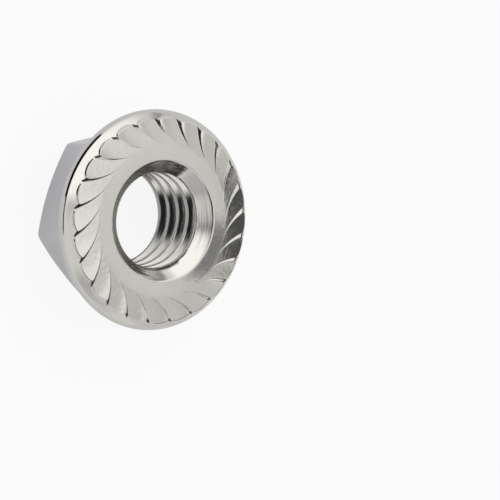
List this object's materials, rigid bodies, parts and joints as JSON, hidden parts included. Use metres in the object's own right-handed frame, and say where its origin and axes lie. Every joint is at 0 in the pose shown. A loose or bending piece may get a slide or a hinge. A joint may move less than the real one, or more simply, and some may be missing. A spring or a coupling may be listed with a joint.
{
  "type": "serrated flange nut",
  "caption": "One-piece hexagon nut with a wide round flange whose bearing face carries curved locking serrations around a threaded bore.",
  "frame": {"origin": "centre of the hex end, on the thread's axis, at the surface that the nut stands on", "axes": "+Z along the thread's axis, from the hex end out of the serrated bearing face; +X through a corner of the hexagon"},
  "size_m": [0.0196, 0.0196, 0.0084],
  "materials": {
    "polished_steel": "polished stainless steel, bright on the forged faces and finely turned in the countersinks"
  },
  "bodies": {
    "root": {"flange_nut": "polished_steel"}
  },
  "joints": []
}
